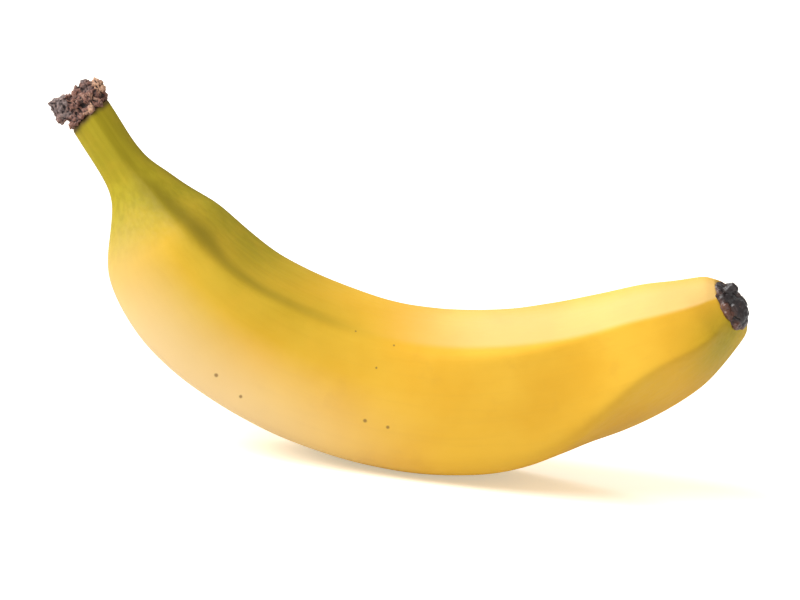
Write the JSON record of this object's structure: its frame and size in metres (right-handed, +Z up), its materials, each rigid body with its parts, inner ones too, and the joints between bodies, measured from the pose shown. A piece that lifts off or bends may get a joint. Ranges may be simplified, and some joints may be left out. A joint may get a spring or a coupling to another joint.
{
  "type": "banana",
  "caption": "Whole ripe yellow banana with soft ridges, a bent stalk with a torn corky crown end and a dark dried blossom tip, lying on the outside of its bend.",
  "frame": {"origin": "middle of the small flat that the peel rests on, at the lowest point of the outside of the bend", "axes": "+X along the fruit towards the blossom end, +Y away from the viewer across the fruit, +Z up, the hollow side of the bend facing up"},
  "size_m": [0.1659, 0.0367, 0.0805],
  "materials": {
    "peel": "waxy satin ripe peel, yellow with green along the stalk and ridges",
    "crown": "dry torn cork, brown with paler raised edges",
    "blossom": "dried blossom remnant, brown-black with a dull gloss"
  },
  "bodies": {
    "root": {"banana": "peel"}
  },
  "joints": []
}
